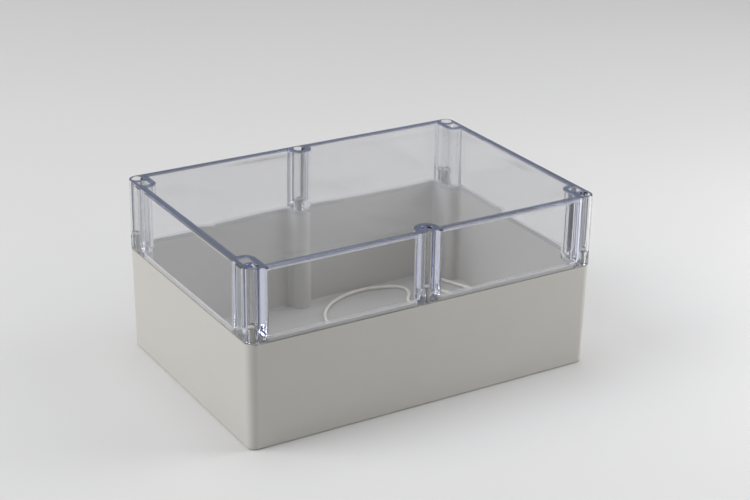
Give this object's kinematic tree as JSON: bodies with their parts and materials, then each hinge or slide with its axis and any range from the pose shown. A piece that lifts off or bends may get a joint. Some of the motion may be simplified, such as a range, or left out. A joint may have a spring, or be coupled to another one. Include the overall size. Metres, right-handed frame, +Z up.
{
  "type": "screw-lid wall enclosure",
  "caption": "Deep wall-mount junction box: grey moulded base with a tongue rim, clear screw-down lid, brass inserts and a loose seal strip.",
  "frame": {"origin": "middle of the underside of the base", "axes": "+X along the length, the front long side faces -Y, +Z up from the base towards the lid"},
  "size_m": [0.263, 0.182, 0.125],
  "materials": {
    "grey_base": "satin light grey moulded polycarbonate",
    "clear_lid": "clear moulded polycarbonate with a faint blue tint",
    "seal": "soft cream foam rubber cord",
    "brass": "turned brass",
    "steel": "stainless steel"
  },
  "bodies": {
    "base": {"base_shell": "grey_base", "seal_strip": "seal", "insert_front_left": "brass", "insert_front_middle": "brass", "insert_front_right": "brass", "insert_back_left": "brass", "insert_back_middle": "brass", "insert_back_right": "brass"},
    "lid": {"lid_shell": "clear_lid"},
    "front_left_screw": {"screw_front_left": "steel"},
    "front_middle_screw": {"screw_front_middle": "steel"},
    "front_right_screw": {"screw_front_right": "steel"},
    "back_left_screw": {"screw_back_left": "steel"},
    "back_middle_screw": {"screw_back_middle": "steel"},
    "back_right_screw": {"screw_back_right": "steel"}
  },
  "joints": [
    {"name": "lid_lift", "type": "slide", "parent": "base", "child": "lid", "axis": [0, 0, 1], "range_m": [0, 0.1]},
    {"name": "front_left_screw_out", "type": "slide", "parent": "lid", "child": "front_left_screw", "axis": [0, 0, 1], "range_m": [0, 0.0104]},
    {"name": "front_middle_screw_out", "type": "slide", "parent": "lid", "child": "front_middle_screw", "axis": [0, 0, 1], "range_m": [0, 0.0104]},
    {"name": "front_right_screw_out", "type": "slide", "parent": "lid", "child": "front_right_screw", "axis": [0, 0, 1], "range_m": [0, 0.0104]},
    {"name": "back_left_screw_out", "type": "slide", "parent": "lid", "child": "back_left_screw", "axis": [0, 0, 1], "range_m": [0, 0.0104]},
    {"name": "back_middle_screw_out", "type": "slide", "parent": "lid", "child": "back_middle_screw", "axis": [0, 0, 1], "range_m": [0, 0.0104]},
    {"name": "back_right_screw_out", "type": "slide", "parent": "lid", "child": "back_right_screw", "axis": [0, 0, 1], "range_m": [0, 0.0104]}
  ]
}
